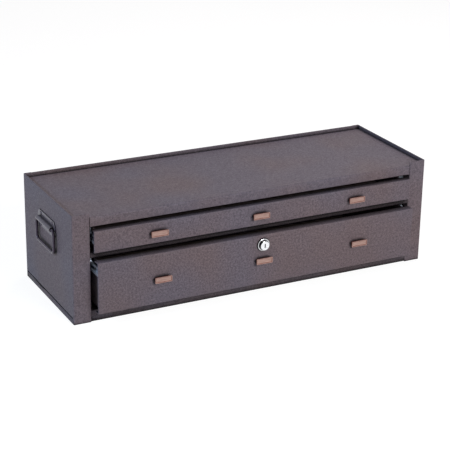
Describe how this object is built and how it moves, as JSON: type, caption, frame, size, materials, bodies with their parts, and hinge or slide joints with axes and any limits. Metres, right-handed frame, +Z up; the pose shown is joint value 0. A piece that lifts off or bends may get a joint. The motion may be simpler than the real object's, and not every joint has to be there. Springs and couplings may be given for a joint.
{
  "type": "tool base cabinet",
  "caption": "Low sheet-steel base for a machinist's tool chest, with a recessed top, a shallow and a deep drawer on slides, a cam lock and a bail handle on each end.",
  "frame": {"origin": "on the floor, under the middle of the case", "axes": "+X to the right along the cabinet's width, drawers open towards -Y, +Z up"},
  "size_m": [0.7322, 0.2732, 0.203],
  "materials": {
    "case_enamel": "brown wrinkle enamel, baked, matt",
    "handle_enamel": "dark brown enamel, smooth",
    "slide_zinc": "bright zinc plate, faintly blue",
    "pull_bronze": "bronze lacquer, satin",
    "lock_chrome": "polished chrome plate",
    "fastener_zinc": "zinc plate",
    "liner_felt": "brown felt"
  },
  "bodies": {
    "case": {"left_side": "case_enamel", "right_side": "case_enamel", "top_panel": "case_enamel", "back_panel": "case_enamel", "base_pan": "case_enamel", "divider_rail": "case_enamel", "left_slide_bracket": "slide_zinc", "left_handle_plate": "case_enamel", "left_handle_rivets": "handle_enamel", "upper_left_cabinet_slide": "slide_zinc", "lower_left_cabinet_slide": "slide_zinc", "right_slide_bracket": "slide_zinc", "right_handle_plate": "case_enamel", "right_handle_rivets": "handle_enamel", "upper_right_cabinet_slide": "slide_zinc", "lower_right_cabinet_slide": "slide_zinc"},
    "upper_drawer": {"upper_drawer_front": "case_enamel", "upper_drawer_left_wall": "case_enamel", "upper_drawer_right_wall": "case_enamel", "upper_drawer_back": "case_enamel", "upper_drawer_floor": "case_enamel", "upper_drawer_liner": "liner_felt", "upper_left_pull": "pull_bronze", "upper_centre_pull": "pull_bronze", "upper_right_pull": "pull_bronze", "upper_pull_screws": "fastener_zinc", "upper_slide_rivets": "fastener_zinc", "upper_left_drawer_slide": "slide_zinc", "upper_right_drawer_slide": "slide_zinc"},
    "lower_drawer": {"lower_drawer_front": "case_enamel", "lower_drawer_left_wall": "case_enamel", "lower_drawer_right_wall": "case_enamel", "lower_drawer_back": "case_enamel", "lower_drawer_floor": "case_enamel", "lower_drawer_liner": "liner_felt", "lower_left_pull": "pull_bronze", "lower_centre_pull": "pull_bronze", "lower_right_pull": "pull_bronze", "lower_pull_screws": "fastener_zinc", "lower_slide_rivets": "fastener_zinc", "lower_left_drawer_slide": "slide_zinc", "lower_right_drawer_slide": "slide_zinc", "lock_ring": "lock_chrome", "lock_barrel": "lock_chrome", "lock_nut": "fastener_zinc"},
    "upper_middle_slides": {"upper_left_middle_slide": "slide_zinc", "upper_right_middle_slide": "slide_zinc"},
    "lower_middle_slides": {"lower_left_middle_slide": "slide_zinc", "lower_right_middle_slide": "slide_zinc"},
    "lock": {"lock_plug": "lock_chrome", "lock_cam": "fastener_zinc", "lock_cam_screw": "fastener_zinc"},
    "left_bail": {"left_handle_bail": "handle_enamel"},
    "right_bail": {"right_handle_bail": "handle_enamel"}
  },
  "joints": [
    {"name": "upper_drawer_slide", "type": "slide", "parent": "case", "child": "upper_drawer", "axis": [0, -1, 0], "range_m": [-0.0095, 0.1905]},
    {"name": "upper_middle_slide", "type": "slide", "parent": "case", "child": "upper_middle_slides", "axis": [0, -1, 0], "range_m": [-0.00475, 0.09525]},
    {"name": "lower_drawer_slide", "type": "slide", "parent": "case", "child": "lower_drawer", "axis": [0, -1, 0], "range_m": [-0.024, 0.176]},
    {"name": "lower_middle_slide", "type": "slide", "parent": "case", "child": "lower_middle_slides", "axis": [0, -1, 0], "range_m": [-0.012, 0.088]},
    {"name": "lock_turn", "type": "hinge", "parent": "lower_drawer", "child": "lock", "pos_m": [0, -0.1445, 0.0999], "axis": [0, -1, 0], "range_deg": [0, 90]},
    {"name": "left_bail_swing", "type": "hinge", "parent": "case", "child": "left_bail", "pos_m": [-0.3616, 0, 0.148], "axis": [0, 1, 0], "range_deg": [0, 180]},
    {"name": "right_bail_swing", "type": "hinge", "parent": "case", "child": "right_bail", "pos_m": [0.3616, 0, 0.148], "axis": [0, -1, 0], "range_deg": [0, 180]}
  ],
  "couplings": [
    {"joint": "upper_middle_slide", "follows": "upper_drawer_slide", "ratio": 0.5},
    {"joint": "lower_middle_slide", "follows": "lower_drawer_slide", "ratio": 0.5}
  ]
}
